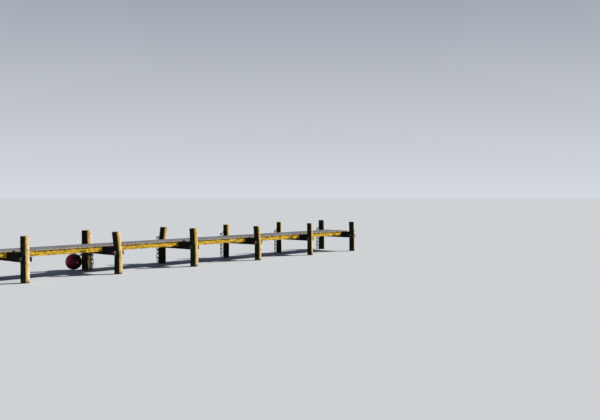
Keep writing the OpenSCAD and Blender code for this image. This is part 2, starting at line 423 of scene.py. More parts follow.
def log_rings(node, mid_z):
    """Centre along X, height and radius of a log at its foot, its bow and its head, each fitted to the
    points of the CAD node at that height, which lie on a circle about the log's axis."""
    points = cad_points(node)
    low, high = points.min(0), points.max(0)
    centre_y = (low[1] + high[1]) / 2
    rings = []
    for z in (0.0, BOW_AT * high[2], high[2]):
        near = (abs(points[:, 2] - z) < RING_BAND) & (abs(points[:, 2] - mid_z) > SEAT_BAND)
        x, y = points[near, 0], points[near, 1] - centre_y
        (a, c), *rest = np.linalg.lstsq(np.stack([2 * x, np.ones_like(x)], -1), x * x + y * y, rcond=None)
        rings.append((a, z, math.sqrt(c + a * a)))
    return np.array(rings), centre_y


def log_columns(rng):
    """The columns of a log: evenly spread ones, and three at each check, two lips and a bed. Gives
    their angles, -1, 0 or 1 across the check, and its number, or -1 for an even one."""
    check_at = (np.arange(LOG_CHECKS) + rng.uniform(*CHECK_PLAY, LOG_CHECKS)) * 2 * np.pi / LOG_CHECKS
    even = full_turn(LOG_COLUMNS)
    even = even[abs(wrapped(even[:, None] - check_at)).min(1) > CHECK_CLEAR]
    angle = np.concatenate([even, np.repeat(check_at, 3)])
    lip = np.concatenate([np.zeros(len(even)), np.tile([-1, 0, 1], LOG_CHECKS)])
    owner = np.concatenate([np.full(len(even), -1), np.repeat(np.arange(LOG_CHECKS), 3)])
    order = np.argsort(angle + lip * 1e-4)
    return angle[order], lip[order], owner[order]


def log_rows(top, planks):
    """The rows of a log, from inside its foot to inside its head, with a close pair at each edge of
    the planks. Gives their heights, shares of the radius, and how far each is on the head."""
    edges = (planks[0].z, planks[1].z, planks[1].z - END_DROP)
    pairs = [[edge - EDGE_STEP, edge + EDGE_STEP] for edge in edges]
    side = np.sort(np.concatenate([np.linspace(0, top - RIM_R, LOG_ROWS), *pairs]))
    foot, head = len(FOOT_INSETS), len(HEAD_INSETS)
    z = np.concatenate([np.zeros(foot), side, [top - RIM_SHARE * RIM_R], np.full(head, top)])
    inset = np.concatenate([FOOT_INSETS, np.ones(len(side)), [RIM_INSET], HEAD_INSETS])
    on_top = np.concatenate([np.zeros(foot + len(side)), [RIM_SHARE], np.ones(head)])
    return z[:, None], inset[:, None], on_top[:, None]


def clasped(x, y, z, planks):
    """x held between the inner faces of the two planks of a pair wherever their sides cover the log, up
    to a little inside their slanted and upright edges, so that the seat's own edge stays hidden."""
    low, high = planks
    middle, half = (low.x + high.x) / 2, (high.x - low.x) / 2 - CROSS_T
    end_z = high.z - END_DROP
    inside = y - low.y - SEAT_IN
    covered = (inside > 0) & (y < high.y - SEAT_IN) & (z > low.z) & (z < high.z)
    shoreward = covered & (z < end_z + inside * END_DROP / CORNER_RUN)
    seaward = covered & ((z < end_z) | (inside > HALVING_RUN))
    x = np.where(shoreward, np.maximum(x, middle - half), x)
    return np.where(seaward, np.minimum(x, middle + half), x)


def dress_log(node, frame_no, seed, bleach, fresh, under_deck, chain=None):
    """A log's skin on a grid of height and angle. The radius is the CAD one less flutes, an oval, and
    the bed of each check, and more at a knot. All columns turn together up the log, with its spiral
    grain, and each check opens and closes along it."""
    rng = np.random.default_rng(seed)
    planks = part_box(f"cross_planks_{frame_no}")
    rings, centre_y = log_rings(node, planks[0].z)
    top = rings[-1, 1]
    angle, lip, owner = log_columns(rng)
    z, inset, on_top = log_rows(top, planks)

    reach = rng.uniform(*CHECK_REACH, LOG_CHECKS)
    middle = rng.uniform(*CHECK_MIDDLE, LOG_CHECKS) * top
    deep = rng.uniform(*CHECK_DEEP, LOG_CHECKS) * CHECK_DEPTH
    opening = np.clip(1 - ((z - middle) / (reach * top)) ** 2, 0, 1) ** 0.5
    opening = np.concatenate([opening, np.zeros((len(z), 1))], 1)[:, owner]
    deep = np.append(deep, 0.0)[owner]
    wave = soft_noise(rng, z / top, 0.5, 7, 1) * WAVER
    theta = angle + z * rng.uniform(-SPIRAL, SPIRAL) + wave
    radius = np.interp(z[:, 0], rings[:, 1], rings[:, 2])[:, None]
    gape = CHECK_SHUT + (1 - CHECK_SHUT) * opening * deep / CHECK_DEPTH
    theta_own = theta + lip * gape * CHECK_HALF_W / radius

    turn = (theta % (2 * np.pi)) / (2 * np.pi)
    broad = soft_noise(rng, z / top, turn, 2, 13, True)
    fine = soft_noise(rng, z / top, turn, 9, 26, True)
    oval = sum(size * np.cos(lobes * theta + rng.uniform(*PHASES)) for size, lobes in OVALS)
    shape = SHRUNK + (broad * FLUTES[0] + fine * FLUTES[1]) + oval
    knot = np.zeros_like(theta)
    knot_turns = rng.uniform(0, 2 * np.pi, LOG_KNOTS)
    knot_heights = rng.uniform(*KNOT_AT, LOG_KNOTS) * top
    for knot_turn, at, size in zip(knot_turns, knot_heights, rng.uniform(*KNOT_R, LOG_KNOTS)):
        across = wrapped(theta - knot_turn) * radius
        knot = np.maximum(knot, np.exp(-(across ** 2 + ((z - at) / KNOT_LONG) ** 2) / size ** 2))
    groove = ((lip == 0) & (owner >= 0)) * deep * opening
    swell = radius * np.minimum(shape + knot * KNOT_SWELL, 1.0)
    out = swell * inset - groove * (1 - on_top)
    sag = groove * on_top * inset ** 1.5
    slope = rng.uniform(0.0, HEAD_SLANT)
    slant = on_top * inset * radius * slope * (1 + np.cos(theta - rng.uniform(*PHASES)))
    x = np.interp(z[:, 0], rings[:, 1], rings[:, 0])[:, None] + out * np.cos(theta_own)
    y = centre_y + out * np.sin(theta_own)
    grid = np.stack([clasped(x, y, z, planks), y, z - sag - slant], -1)

    # How each column faces the sun drives the painted light and shade of the finish.
    facing = np.cos(theta) * sun_flat[0] + np.sin(theta) * sun_flat[1]
    # Round the back, turned from both sun and camera, the painted shade gives way to a lighter brown.
    dried = np.clip((np.cos(theta - DRY_TURN) - DRY_EDGE) / (1 - DRY_EDGE), 0, 1)
    # Below the deck the far posts' painted sunlit side is cut back: a painted shadow of the deck, lighter
    # on the third far post as painted light from the water.
    under = np.clip((planks[1].z - z) / UNDER_FADE, 0, 1)
    kept = bleach * (1 - under * (1 - under_deck))
    stain = 0.0
    if chain:
        low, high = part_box(chain)
        chain_turn = math.atan2((low.y + high.y) / 2 - centre_y, (low.x + high.x) / 2 - rings[0, 0])
        stain = under * np.exp(-(wrapped(theta - chain_turn) / STAIN_SPREAD) ** 2)
    post = Piece("sunny", "check", "knot", "cut", "pith", "own", "fresh", "stain", "dried")
    post.skin(grid, sunny=(0.5 + 0.5 * facing) * kept, check=groove / CHECK_DEPTH * CHECK_DARK,
              fresh=np.clip(fresh * (FRESH_FOOT + FRESH_RISE * z / top), 0, 1), stain=stain, dried=dried,
              knot=knot * (1 - on_top), cut=on_top, pith=inset * radius, own=rng.uniform())
    post.build(f"log_{node}", "post_wood", log_wood, node)


log_wood = log_finish()
for k, near_bleach, far_bleach, near_fresh, far_fresh, under_deck in zip(
        FRAMES, NEAR_BLEACH, FAR_BLEACH, NEAR_FRESH, FAR_FRESH, UNDER_DECK):
    dress_log(f"near_post_{k}", k, 100 + k, near_bleach, near_fresh, 1.0)
    dress_log(f"far_post_{k}", k, 200 + k, far_bleach, far_fresh, under_deck, f"mooring_chain_{k}")

# The cross planks
# Each pair of posts is clasped by two rough-sawn planks on edge, let a little into the logs and bolted
# through. The shoreward one has a corner sawn off at its near end, and the seaward one is halved.
SAW_ROUGH = 0.0016
SAW_FINE = 0.45
SAW_CELLS = (4, 38)
SAW_CHAMFER = 0.003
SAWN_INSETS = (0.35, 0.7, 1.0)
PLANK_GRID = (96, 14, 7)
PLANK_PITH_DROP = (0.02, 0.08)
PLANK_RING_PITCH = 0.0065
PITH_ASIDE = 0.6
AGED_END = (0.3, 0.28, 1.0, 0.26, 0.64, 0.06, 0.04)
AGED_FOOT = 0.05
AGED_RISE = 1.2


def outline(a, b, chamfer, count_a, count_b):
    """A rectangle of half sizes a and b with clipped corners, as points round it from its lower left
    corner, and the outward direction at each."""
    flat = np.linspace(chamfer - a, a - chamfer, count_a)
    rise = np.linspace(chamfer - b, b - chamfer, count_b)
    right, top = np.full(count_b, a), np.full(count_a, b)
    sides = ((flat, -top), (right, rise), (-flat, top), (-right, -rise))
    out = np.repeat([[0, -1], [1, 0], [0, 1], [-1, 0]], [count_a, count_b, count_a, count_b], 0)
    return np.concatenate([np.stack(side, -1) for side in sides]), out


def sawn(rng, length, half_a, half_b, grid, extra=(), rough=SAW_ROUGH, chamfer=SAW_CHAMFER):
    """A sawn timber along its first axis, from 0 to length: its outline is carried along it and sunk by
    coarse and fine noise, and rings shrinking to the middle close both ends. grid counts the rings
    along it and the points on its two sides. Gives the points, how far along each lies, 1 on the end
    faces, and the outward direction of the side that each is on."""
    rows, count_a, count_b = grid
    ring, out = outline(half_a, half_b, chamfer, count_a, count_b)
    along = np.unique(np.concatenate([np.linspace(chamfer, length - chamfer, rows), extra]))
    ends = len(SAWN_INSETS)
    s = np.concatenate([np.zeros(ends), along, np.full(ends, length)])[:, None]
    inset = np.concatenate([SAWN_INSETS, np.ones(len(along)), SAWN_INSETS[::-1]])[:, None, None]
    end = np.concatenate([np.ones(ends), np.zeros(len(along)), np.ones(ends)])[:, None]
    clip = 1 - end[..., None] * chamfer / np.array([half_a, half_b])
    v = np.linspace(0, 1, len(ring), endpoint=False)
    coarse, fine = (int(length * cells) for cells in SAW_CELLS)
    sink = (1 + soft_noise(rng, s / length, v, max(3, coarse), 9, True)) * rough
    sink = sink + (1 + soft_noise(rng, s / length, v, max(8, fine), 34, True)) * rough * SAW_FINE
    across = ring * inset * clip - out * sink[..., None] * (1 - end[..., None])
    nick = end * (1 + soft_noise(rng, inset[..., 0], v, 3, 14, True)) * rough
    s = s + np.where(s > length / 2, -nick, nick)
    return np.concatenate([s[..., None], across], -1), s, np.broadcast_to(end, s.shape), out


def frame_finish():
    """Rough-sawn wood, its grain stretched along the plank, greyer at its end grain. Its faces are painted
    by how they turn to the sun: grey where they face it, and near black with green mottle where they
    face away, as painted light and shade."""
    wood = Finish("dark_plank", Specular_IOR_Level=0.12)
    sunny, end, own, aged, aside, above = wood.marks("sunny", "end", "own", "aged", "aside", "above")
    shift = own * 23.0
    streak = wood.noise((90, 4.5, 90), 6, 0.62, 0.3, shift)
    fibre = wood.noise((380, 14, 380), 3, 0.6, 0.0, shift)
    mottle = wood.noise((22, 13, 22), 5, 0.6, 0.5, shift)
    saw = wood.noise((8, 260, 8), 2, 0.5, 0.0, shift)
    coarse = streak * 0.7 + mottle * 0.5
    # Faces turned from the sun are painted near black as painted shade, with green mottle; faces turned to
    # it are grey, as painted light.
    dark = wood.mix((0.003, 0.003, 0.003), (0.022, 0.015, 0.011), coarse.over(0.48, 0.88))
    moss = wood.mix(dark, (0.010, 0.014, 0.006), mottle.over(0.56, 0.68) * 0.6)
    grey = wood.mix((0.030, 0.022, 0.012), (0.15, 0.115, 0.065), coarse.over(0.42, 0.78))
    faced = wood.mix(moss, grey, (sunny + (mottle - 0.5) * 0.3).over(0.62, 0.92))
    pith = (aside * aside + above * above) ** 0.5
    ring = wood.growth(pith + (mottle - 0.5) * 0.008, PLANK_RING_PITCH)
    dried = aged * (mottle * 0.6 + fibre * 0.35 + ring * 0.11).over(0.24, 0.58)
    sawn_end = wood.mix((0.012, 0.009, 0.007), (0.70, 0.70, 0.57), dried)
    ended = wood.mix(faced, sawn_end, end * 0.9)
    relief = streak * 0.5 + fibre * 0.3 + mottle * 0.25 + saw * 0.12 + ring * end * 0.06
    return wood.wire(relief, 0.005, Base_Color=ended, Roughness=0.95 - mottle * 0.2)


def dress_planks(k):
    """Both planks of a pair, carried along Y. Their height above the lower edge is drawn in at the
    near end, to a slope on one and to a step on the other. The sloped one's end has aged to a pale,
    dry grey, most of all near its top."""
    rng = np.random.default_rng(300 + k)
    low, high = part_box(f"cross_planks_{k}")
    length, half_h = high.y - low.y, (high.z - low.z) / 2
    full, cut = 2 * half_h, 2 * half_h - END_DROP
    pair = Piece("sunny", "end", "own", "aged", "aside", "above")
    for plank, x in enumerate((low.x + CROSS_T / 2, high.x - CROSS_T / 2)):
        steps = [CORNER_RUN] if plank == 0 else [HALVING_RUN - EDGE_STEP, HALVING_RUN + EDGE_STEP]
        points, s, end, out = sawn(rng, length, half_h, CROSS_T / 2, PLANK_GRID, steps)
        if plank == 0:
            crest = np.minimum(cut + s / CORNER_RUN * END_DROP, full)
        else:
            crest = np.where(s > HALVING_RUN, full, cut)
        points[..., 1] = (points[..., 1] + half_h) * crest / full - half_h
        grid = np.roll(points, 1, -1) + (x, low.y, low.z + half_h)
        share = np.clip((points[..., 1] + half_h) / cut, 0, 1)
        near_end = (plank == 0) * (s < length / 2)
        aged = near_end * AGED_END[k - 1] * (AGED_FOOT + AGED_RISE * share ** 1.5)
        pith_x = x + rng.uniform(-PITH_ASIDE, PITH_ASIDE) * CROSS_T
        pith_z = low.z - rng.uniform(*PLANK_PITH_DROP)
        # The first mark is how each face turns to the sun, for the painted light and shade.
        pair.skin(grid, sunny=0.5 + 0.5 * sun_flat[0] * out[:, 1], end=end, own=rng.uniform(), aged=aged,
                  aside=grid[..., 0] - pith_x, above=grid[..., 2] - pith_z)
    pair.build(f"planks_cross_{k}", "frame_wood", frame_wood, f"cross_planks_{k}")


frame_wood = frame_finish()
for k in FRAMES:
    dress_planks(k)

# The edge beams
# Two heavy sawn beams carry the boards of each bay. They are butted between the cross planks and have
# weathered to a mottled gold, with bark edge left along their lower corners. The gold is painted on
# the face turned to the sun as painted light, and the other faces are painted dark as painted shade.
BAYS = range(1, len(FRAMES))
BEAM_W = 0.080
BEAM_GRID = (165, 7, 13)
BEAM_ROUGH = 0.0022
WANE_RISE = 0.022
WANE_FROM = 1.35
WANE_CELLS = 16
# A dark green patch low on the beams of one bay: its bay, its middle along X, its reach, and how high up
# the face it climbs.
MOSS_BAY = 2
MOSS_X = -3.77
MOSS_R = 0.15
MOSS_TOP = 0.6


def beam_finish():
    """Golden mottled wood, its grain stretched along the beam, broken by dark specks, pale worn patches,
    green growth, a dark green patch on one bay, and the dark grain of its ends. The gold is painted on
    the face turned to the sun as painted light; the other faces are painted shade."""
    wood = Finish("golden_beam", Specular_IOR_Level=0.12)
    sunny, end, own, wane, moss = wood.marks("sunny", "end", "own", "wane", "moss")
    shift = own * 31.0
    streak = wood.noise((4.5, 90, 80), 6, 0.62, 0.3, shift)
    fibre = wood.noise((14, 380, 320), 3, 0.6, 0.0, shift)
    mottle = wood.noise((13, 30, 26), 6, 0.66, 0.3, shift)
    speck = wood.noise((42, 110, 84), 5, 0.66, 0.2, shift)
    blot = wood.noise((12, 26, 26), 5, 0.64, 0.3, shift + 5.0)
    cloud = wood.noise((1.7, 6, 7), 3, 0.5, 0.0, shift)
    grain = (mottle * 0.6 + streak * 0.5).over(0.41, 0.66)
    gold = wood.mix((0.24, 0.12, 0.008), (0.72, 0.485, 0.036), grain)
    worn = (cloud * 0.8 + mottle * 0.3 + speck * 0.2).over(0.72, 0.88)
    pale = wood.mix(gold, (0.80, 0.66, 0.28), worn * 0.7)
    patch = (blot * 0.6 + speck * 0.35 + streak * 0.15).over(0.54, 0.64)
    blotted = wood.mix(pale, (0.070, 0.036, 0.008), patch * 0.88)
    dots = (speck * 0.7 + streak * 0.4).over(0.60, 0.72)
    dotted = wood.mix(blotted, (0.030, 0.018, 0.008), dots * 0.9)
    # The dark green patch, broken up by mottle.
    tufts = (moss + (mottle - 0.5) * 0.9).over(0.40, 0.62)
    growth = (cloud * 0.7 + blot * 0.5).over(0.40, 0.30) + tufts
    grown = wood.mix(dotted, (0.042, 0.044, 0.012), growth * 0.8)
    coarse = (streak * 0.7 + mottle * 0.4).over(0.40, 0.74)
    # Faces turned from the sun are painted dark brown as painted shade; the gold lies on the face turned to
    # it as painted light.
    shade = wood.mix((0.035, 0.026, 0.016), (0.18, 0.135, 0.075), coarse)
    faced = wood.mix(shade, grown, (sunny + (streak - 0.5) * 0.2).over(0.54, 0.66))
    barked = wood.mix(faced, (0.040, 0.022, 0.012), wane * mottle.over(0.40, 0.60))
    ended = wood.mix(barked, (0.10, 0.065, 0.03), end * 0.7)
    relief = streak * 0.5 + fibre * 0.25 + mottle * 0.3 + speck * 0.25 - patch * 0.12
    return wood.wire(relief, 0.005, Base_Color=ended, Roughness=0.93 - speck * 0.15)


def dress_beams(b):
    """Both beams of a bay, carried along X. The two lower corners are drawn up and in by the wane,
    which comes and goes along the beam."""
    rng = np.random.default_rng(400 + b)
    low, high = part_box(f"edge_beams_{b}")
    length, half_w, half_h = high.x - low.x, BEAM_W / 2, (high.z - low.z) / 2
    pair = Piece("sunny", "end", "own", "wane", "moss")
    for y in (low.y + half_w, high.y - half_w):
        points, s, end, out = sawn(rng, length, half_w, half_h, BEAM_GRID, rough=BEAM_ROUGH)
        across, rise = points[..., 1] / half_w, points[..., 2] / half_h
        side = 0.5 + 0.5 * np.sign(across)
        lost = np.clip(soft_noise(rng, s / length, side, WANE_CELLS, 1), 0, 1) ** 0.7
        wane = lost * np.clip(abs(across) + np.clip(-rise, 0, 1) - WANE_FROM, 0, 1) / (2 - WANE_FROM)
        points[..., 2] += wane * WANE_RISE
        points[..., 1] -= np.sign(across) * wane * WANE_RISE * 0.5
        # A dark green patch low on the beams of one bay.
        tuft = np.exp(-((low.x + s - MOSS_X) / MOSS_R) ** 2) * np.clip(MOSS_TOP - rise, 0, 1)
        # The first mark is how each face turns to the sun, for the painted light and shade.
        pair.skin(points + (low.x, y, low.z + half_h), sunny=0.5 + 0.5 * sun_flat[1] * out[:, 0],
                  end=end, own=rng.uniform(), wane=wane, moss=tuft * (b == MOSS_BAY))
    pair.build(f"beams_edge_{b}", "beam_wood", beam_wood, f"edge_beams_{b}")


beam_wood = beam_finish()
for b in BAYS:
    dress_beams(b)

# The deck boards
# Some twenty sawn boards a bay lie side by side across the walkway, with a finger's gap between them.
# Each is nailed at both beams. They have gone silver grey, cupped and split, and their ends don't
# line up.
BOARD_GRID = (24, 4, 15)
BOARD_ROUGH = 0.0010
BOARD_CHAMFER = 0.002
BOARD_PITCH = 0.150
BOARD_GAP = 0.008
GAP_PLAY = (0.7, 1.3)
GAP_SHIFT = 0.15
END_PLAY = 0.012
START_PLAY = (-0.6, 1.0)
STOP_PLAY = (0.0, 1.2)
CUP = (-0.0012, 0.0030)
CANT = 0.0012
SPLIT_OUT = 0.7
SPLIT_NEAR = 0.06
SPLIT_REACH = (0.1, 0.45)
SPLIT_DEPTH = 0.007
FACE_FROM = 0.4
NAIL_R = 0.0055
NAIL_PROUD = 0.0015
NAIL_SUNK = 0.0012
NAIL_IN = 0.030
NAIL_PLAY = 0.012
NAIL_SIDES = 8
NAIL_PROFILE = ((-0.004, 0.0022), (0, 0.0022), (0, NAIL_R), (NAIL_PROUD, NAIL_R * 0.8))
RUST_R = 0.012
RUST_LONG = 2.2
PITH_DROP = (0.03, 0.10)
BOARD_RING_PITCH = 0.0052


def deck_finish():
    """Silvered wood, its grain stretched along the board, with brown left in it board by board, splits
    darkened partly with dirt and partly as painted shade, lichen, rust at the nails, and pale ringed
    end grain."""
    wood = Finish("silver_board", Specular_IOR_Level=0.2)
    end, own, split, rust, aside, above = wood.marks("end", "own", "split", "rust", "aside", "above")
    shift = own * 41.0
    streak = wood.noise((95, 4.2, 95), 6, 0.62, 0.3, shift)
    fibre = wood.noise((430, 13, 430), 3, 0.6, 0.0, shift)
    mottle = wood.noise((24, 11, 24), 5, 0.62, 0.6, shift)
    speck = wood.noise((110, 90, 110), 3, 0.6, 0.0, shift)
    coarse = (streak * 0.7 + mottle * 0.4).over(0.36, 0.74)
    silver = wood.mix((0.053, 0.056, 0.072), (0.202, 0.215, 0.282), coarse)
    browned = wood.mix(silver, (0.11, 0.080, 0.060), (own * 0.7 + mottle * 0.5).over(0.62, 1.0) * 0.7)
    lichen = wood.mix(browned, (0.30, 0.29, 0.25), (speck + mottle * 0.6).over(0.88, 1.06) * 0.5)
    # Splits are darkened: partly dirt, partly painted shade in the crack.
    worn = wood.mix(lichen, (0.030, 0.023, 0.018), split)
    stained = wood.mix(worn, (0.045, 0.026, 0.016), rust * mottle.over(0.30, 0.62))
    pith = (aside * aside + above * above) ** 0.5
    ring = wood.growth(pith + (mottle - 0.5) * 0.006, BOARD_RING_PITCH)
    rings = ring * 0.13 + mottle * 0.55 + speck * 0.45
    grain = wood.mix((0.062, 0.046, 0.034), (0.50, 0.45, 0.385), rings.over(0.30, 0.74))
    ended = wood.mix(stained, grain, end)
    relief = streak * 0.55 + fibre * 0.3 + mottle * 0.2 + ring * end * 0.06
    return wood.wire(relief, 0.004, Base_Color=ended, Roughness=0.9 - streak * 0.15)


def dress_boards(b, nails):
    """The boards of a bay, each carried along Y. A board's face cups by the square of the distance
    from its middle line, and a split runs in from one end as a narrow sunk column."""
    rng = np.random.default_rng(500 + b)
    low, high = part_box(f"deck_bay_{b}")
    beam_low, beam_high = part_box(f"edge_beams_{b}")
    thick = high.z - low.z
    count = round((high.x - low.x) / BOARD_PITCH)
    pitch = (high.x - low.x) / count
    half_count = BOARD_GRID[2] // 2
    deck = Piece("end", "own", "split", "rust", "aside", "above")
    for i in range(count):
        half_w = (pitch - BOARD_GAP * rng.uniform(*GAP_PLAY)) / 2
        start = low.y + rng.uniform(*START_PLAY) * END_PLAY
        length = high.y - rng.uniform(*STOP_PLAY) * END_PLAY - start
        centre_x = low.x + (i + 0.5) * pitch + rng.uniform(-GAP_SHIFT, GAP_SHIFT) * BOARD_GAP
        if b == BAYS[0] and i == 0:
            centre_x = low.x + half_w
        if b == BAYS[-1] and i == count - 1:
            centre_x = high.x - half_w
        points, s, end, _ = sawn(rng, length, thick / 2, half_w, BOARD_GRID, (), BOARD_ROUGH, BOARD_CHAMFER)
        across, top = points[..., 2] / half_w, points[..., 1] > 0
        split_at = rng.uniform(-SPLIT_OUT, SPLIT_OUT)
        split_l = rng.uniform(*SPLIT_REACH) * length
        column = np.round((split_at + 1) * half_count) / half_count - 1
        from_end = s if rng.uniform() < 0.5 else length - s
        split = (abs(across - column) < SPLIT_NEAR) * np.clip(1 - from_end / split_l, 0, 1)
        split = split * (abs(points[..., 1]) > thick * FACE_FROM)
        cup = np.clip(rng.uniform(*CUP) * across ** 2, 0, 1)
        points[..., 1] -= np.where(top, cup + split * SPLIT_DEPTH, 0)
        points[..., 1] -= rng.uniform(0, CANT) * (1 + across * rng.choice([-1, 1])) * top
        grid = np.roll(points, 1, -1) + (centre_x, start, (low.z + high.z) / 2)
        rust = np.zeros(s.shape)
        for y in (beam_low.y + BEAM_W / 2, beam_high.y - BEAM_W / 2):
            for side in (-1, 1):
                nail_x = centre_x + side * (half_w - NAIL_IN)
                nail_y = y + rng.uniform(-NAIL_PLAY, NAIL_PLAY)
                far = (grid[..., 0] - nail_x) ** 2 + ((grid[..., 1] - nail_y) / RUST_LONG) ** 2
                rust = np.maximum(rust, top * np.exp(-far / RUST_R ** 2))
                nails.append((nail_x, nail_y, high.z - NAIL_SUNK))
        pith_x = centre_x + rng.uniform(-PITH_ASIDE, PITH_ASIDE) * half_w
        pith_z = low.z - rng.uniform(*PITH_DROP)
        deck.skin(grid, end=end, own=rng.uniform(), split=split, rust=rust,
                  aside=grid[..., 0] - pith_x, above=grid[..., 2] - pith_z)
    deck.build(f"boards_deck_{b}", "deck_wood", deck_wood, f"deck_bay_{b}")


def iron_finish(name, rusted, bare):
    """Iron flaked with rust: dark scale passing to brown, and bare metal where it is left."""
    iron = Finish(name, Specular_IOR_Level=0.2)
    flake = iron.noise((160, 160, 160), 5, 0.65, 0.5)
    patch = iron.noise((45, 45, 45), 4, 0.6)
    scale = (flake * 0.7 + patch * 0.5).over(0.55, 0.95)
    rust = iron.mix((0.008, 0.005, 0.004), (0.060, 0.022, 0.009), scale)
    spread = (patch + rusted * 0.6).over(0.55, 0.75)
    metal = 1 - spread
    return iron.wire(flake * 0.6 + patch * 0.4, 0.0015, Base_Color=iron.mix(bare, rust, spread),
                     Metallic=metal * 0.9, Roughness=0.85 - metal * 0.4 - flake * 0.1)


def turned(profile, sides, place, axis=2):
    """A profile of distance along and radius, turned about the axis and set at its place."""
    along, radius = np.array(profile, float).T[..., None]
    angle = full_turn(sides)
    local = np.broadcast_arrays(along, radius * np.cos(angle), radius * np.sin(angle))
    return np.roll(np.stack(local, -1), axis, -1) + place


deck_wood = deck_finish()
nail_places = []
for b in BAYS:
    dress_boards(b, nail_places)
nail_iron = iron_finish("rusty_nail", 1.0, (0.3, 0.28, 0.26))
nail_heads = Piece()
for place in nail_places:
    nail_heads.skin(turned(NAIL_PROFILE, NAIL_SIDES, place))
nail_heads.build("deck_nails", "chain_iron", nail_iron)

# The bolts
# Galvanised bolts run through both planks and the log between them, one at each near post and two at
# each far post, with a plate washer under each nut.
BOLT_R = 0.008
BOLT_RISE = (0.068, 0.175)
BOLT_PLAY = 0.004
BOLT_SIDES = 14
BOLT_CREASE = math.radians(28)
PLATE_W = 0.078
PLATE_H = 0.100
PLATE_T = 0.005
PLATE_CHAMFER = 0.003
NUT_R = 0.0155
NUT_TOP = PLATE_T + 0.011
PLATE_PROFILE = ((-0.003, 1.0), (PLATE_T - 0.001, 1.0), (PLATE_T, 0.97))
NUT_PROFILE = ((PLATE_T - 0.001, NUT_R), (NUT_TOP - 0.002, NUT_R), (NUT_TOP, NUT_R * 0.88))
STEM_PROFILE = ((PLATE_T, BOLT_R), (NUT_TOP + 0.005, BOLT_R), (NUT_TOP + 0.006, BOLT_R * 0.8))


def zinc_finish():
    """Galvanised steel gone dark: grey with a faint spangle, under bloom and brown rust."""
    zinc = Finish("galvanised_steel", Specular_IOR_Level=0.2)
    cells = {"Vector": zinc.stretched((110, 110, 110)), "Scale": 1.0}
    spangle = zinc.node("TexVoronoi", values=cells, output="Distance")
    bloom = zinc.noise((34, 34, 22), 4, 0.6)
    flake = zinc.noise((260, 260, 260), 4, 0.62)
    dull = (spangle * 0.5 + bloom * 0.6).over(0.25, 0.8)
    grey = zinc.mix((0.018, 0.018, 0.017), (0.072, 0.072, 0.068), dull)
    rusted = (bloom + (flake - 0.5) * 0.6).over(0.44, 0.58)
    stained = zinc.mix(grey, (0.046, 0.019, 0.008), rusted * 0.9)
    return zinc.wire(bloom * 0.5 + spangle * 0.15 + flake * 0.4, 0.0008, Base_Color=stained,
                     Metallic=0.6 - bloom * 0.5, Roughness=0.6 + bloom * 0.3)


def mirrored(profile, way):
    """A profile of distance along and size, turned end for end where way is -1."""
    return np.array(profile)[::way] * (way, 1)


def dress_bolts():
    """Plates, nuts and bolt ends on both outer faces, each turned about X or lofted along it."""
    rng = np.random.default_rng(600)
    bolts = Piece()
    for k in FRAMES:
        low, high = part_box(f"cross_planks_{k}")
        near_y = sum(corner.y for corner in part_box(f"near_post_{k}")) / 2
        far_y = sum(corner.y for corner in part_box(f"far_post_{k}")) / 2
        low_z, high_z = (low.z + rise for rise in BOLT_RISE)
        for y, z, tall in ((near_y, low_z, PLATE_H), (far_y, low_z, PLATE_W), (far_y, high_z, PLATE_W)):
            ring, _ = outline(PLATE_W / 2, tall / 2, PLATE_CHAMFER, 3, 3)
            for face, way in ((low.x, -1), (high.x, 1)):
                play = rng.uniform(-BOLT_PLAY, BOLT_PLAY, 2)
                at = np.array([face, y + play[0], z + play[1]])
                along, shrink = mirrored(PLATE_PROFILE, way).T[..., None, None]
                along = np.broadcast_to(along, (len(along), len(ring), 1))
                bolts.skin(np.concatenate([along, ring * shrink], -1) + at)
                bolts.skin(turned(mirrored(NUT_PROFILE, way), 6, at, 0))
                bolts.skin(turned(mirrored(STEM_PROFILE, way), BOLT_SIDES, at, 0))
    bolts.build("clasp_bolts", "chain_iron", zinc_steel, crease=BOLT_CREASE)


zinc_steel = zinc_finish()
dress_bolts()

# The mooring chains
# A chain of long welded links hangs from a hook in each far post, down to the posts' feet. Hooks and
# links are bare iron, dark and scaled with rust.
chain_iron = iron_finish("rusty_chain", 0.85, (0.03, 0.028, 0.027))
for k in FRAMES:
    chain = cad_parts[f"mooring_chain_{k}"]
    chain.data.materials.clear()
    chain.data.materials.append(chain_iron)

# The ball fender
# A blown vinyl ball hangs beside the third far post, its moulded neck and eye leaning up to the rope.
# The skin is a deep glossy red, scuffed and grimy, and the eye is a paler hard plastic. The red is
# painted near black towards the post and darker low on the ball as painted shade, and carries a small
# painted glint.
FENDER_FRAME = 3
BALL_ROWS = 84
BALL_COLUMNS = 120
POLE_GAP = 0.02
NECK_GAP = 0.03
NECK_TILT = math.radians(45)
NECK_R = 0.052
NECK_L = 0.026
NECK_ROWS = 11
NECK_HOLLOW = 0.012
NECK_RED = 0.012
COLLAR_R = 0.024
COLLAR_UP = 0.004
CAP_STEPS = ((0.003, -0.004), (0.004, -0.014))
EYE_R = 0.034
EYE_BAR_R = 0.011
EYE_COLUMNS = 48
EYE_SIDES = 18
SEAM_W = 0.002
# A small bright red patch on the ball is a painted glint: its turn, its height and its size.
RUB_TURN = math.radians(-97)
RUB_RISE = math.radians(-6)
RUB_R = 0.036


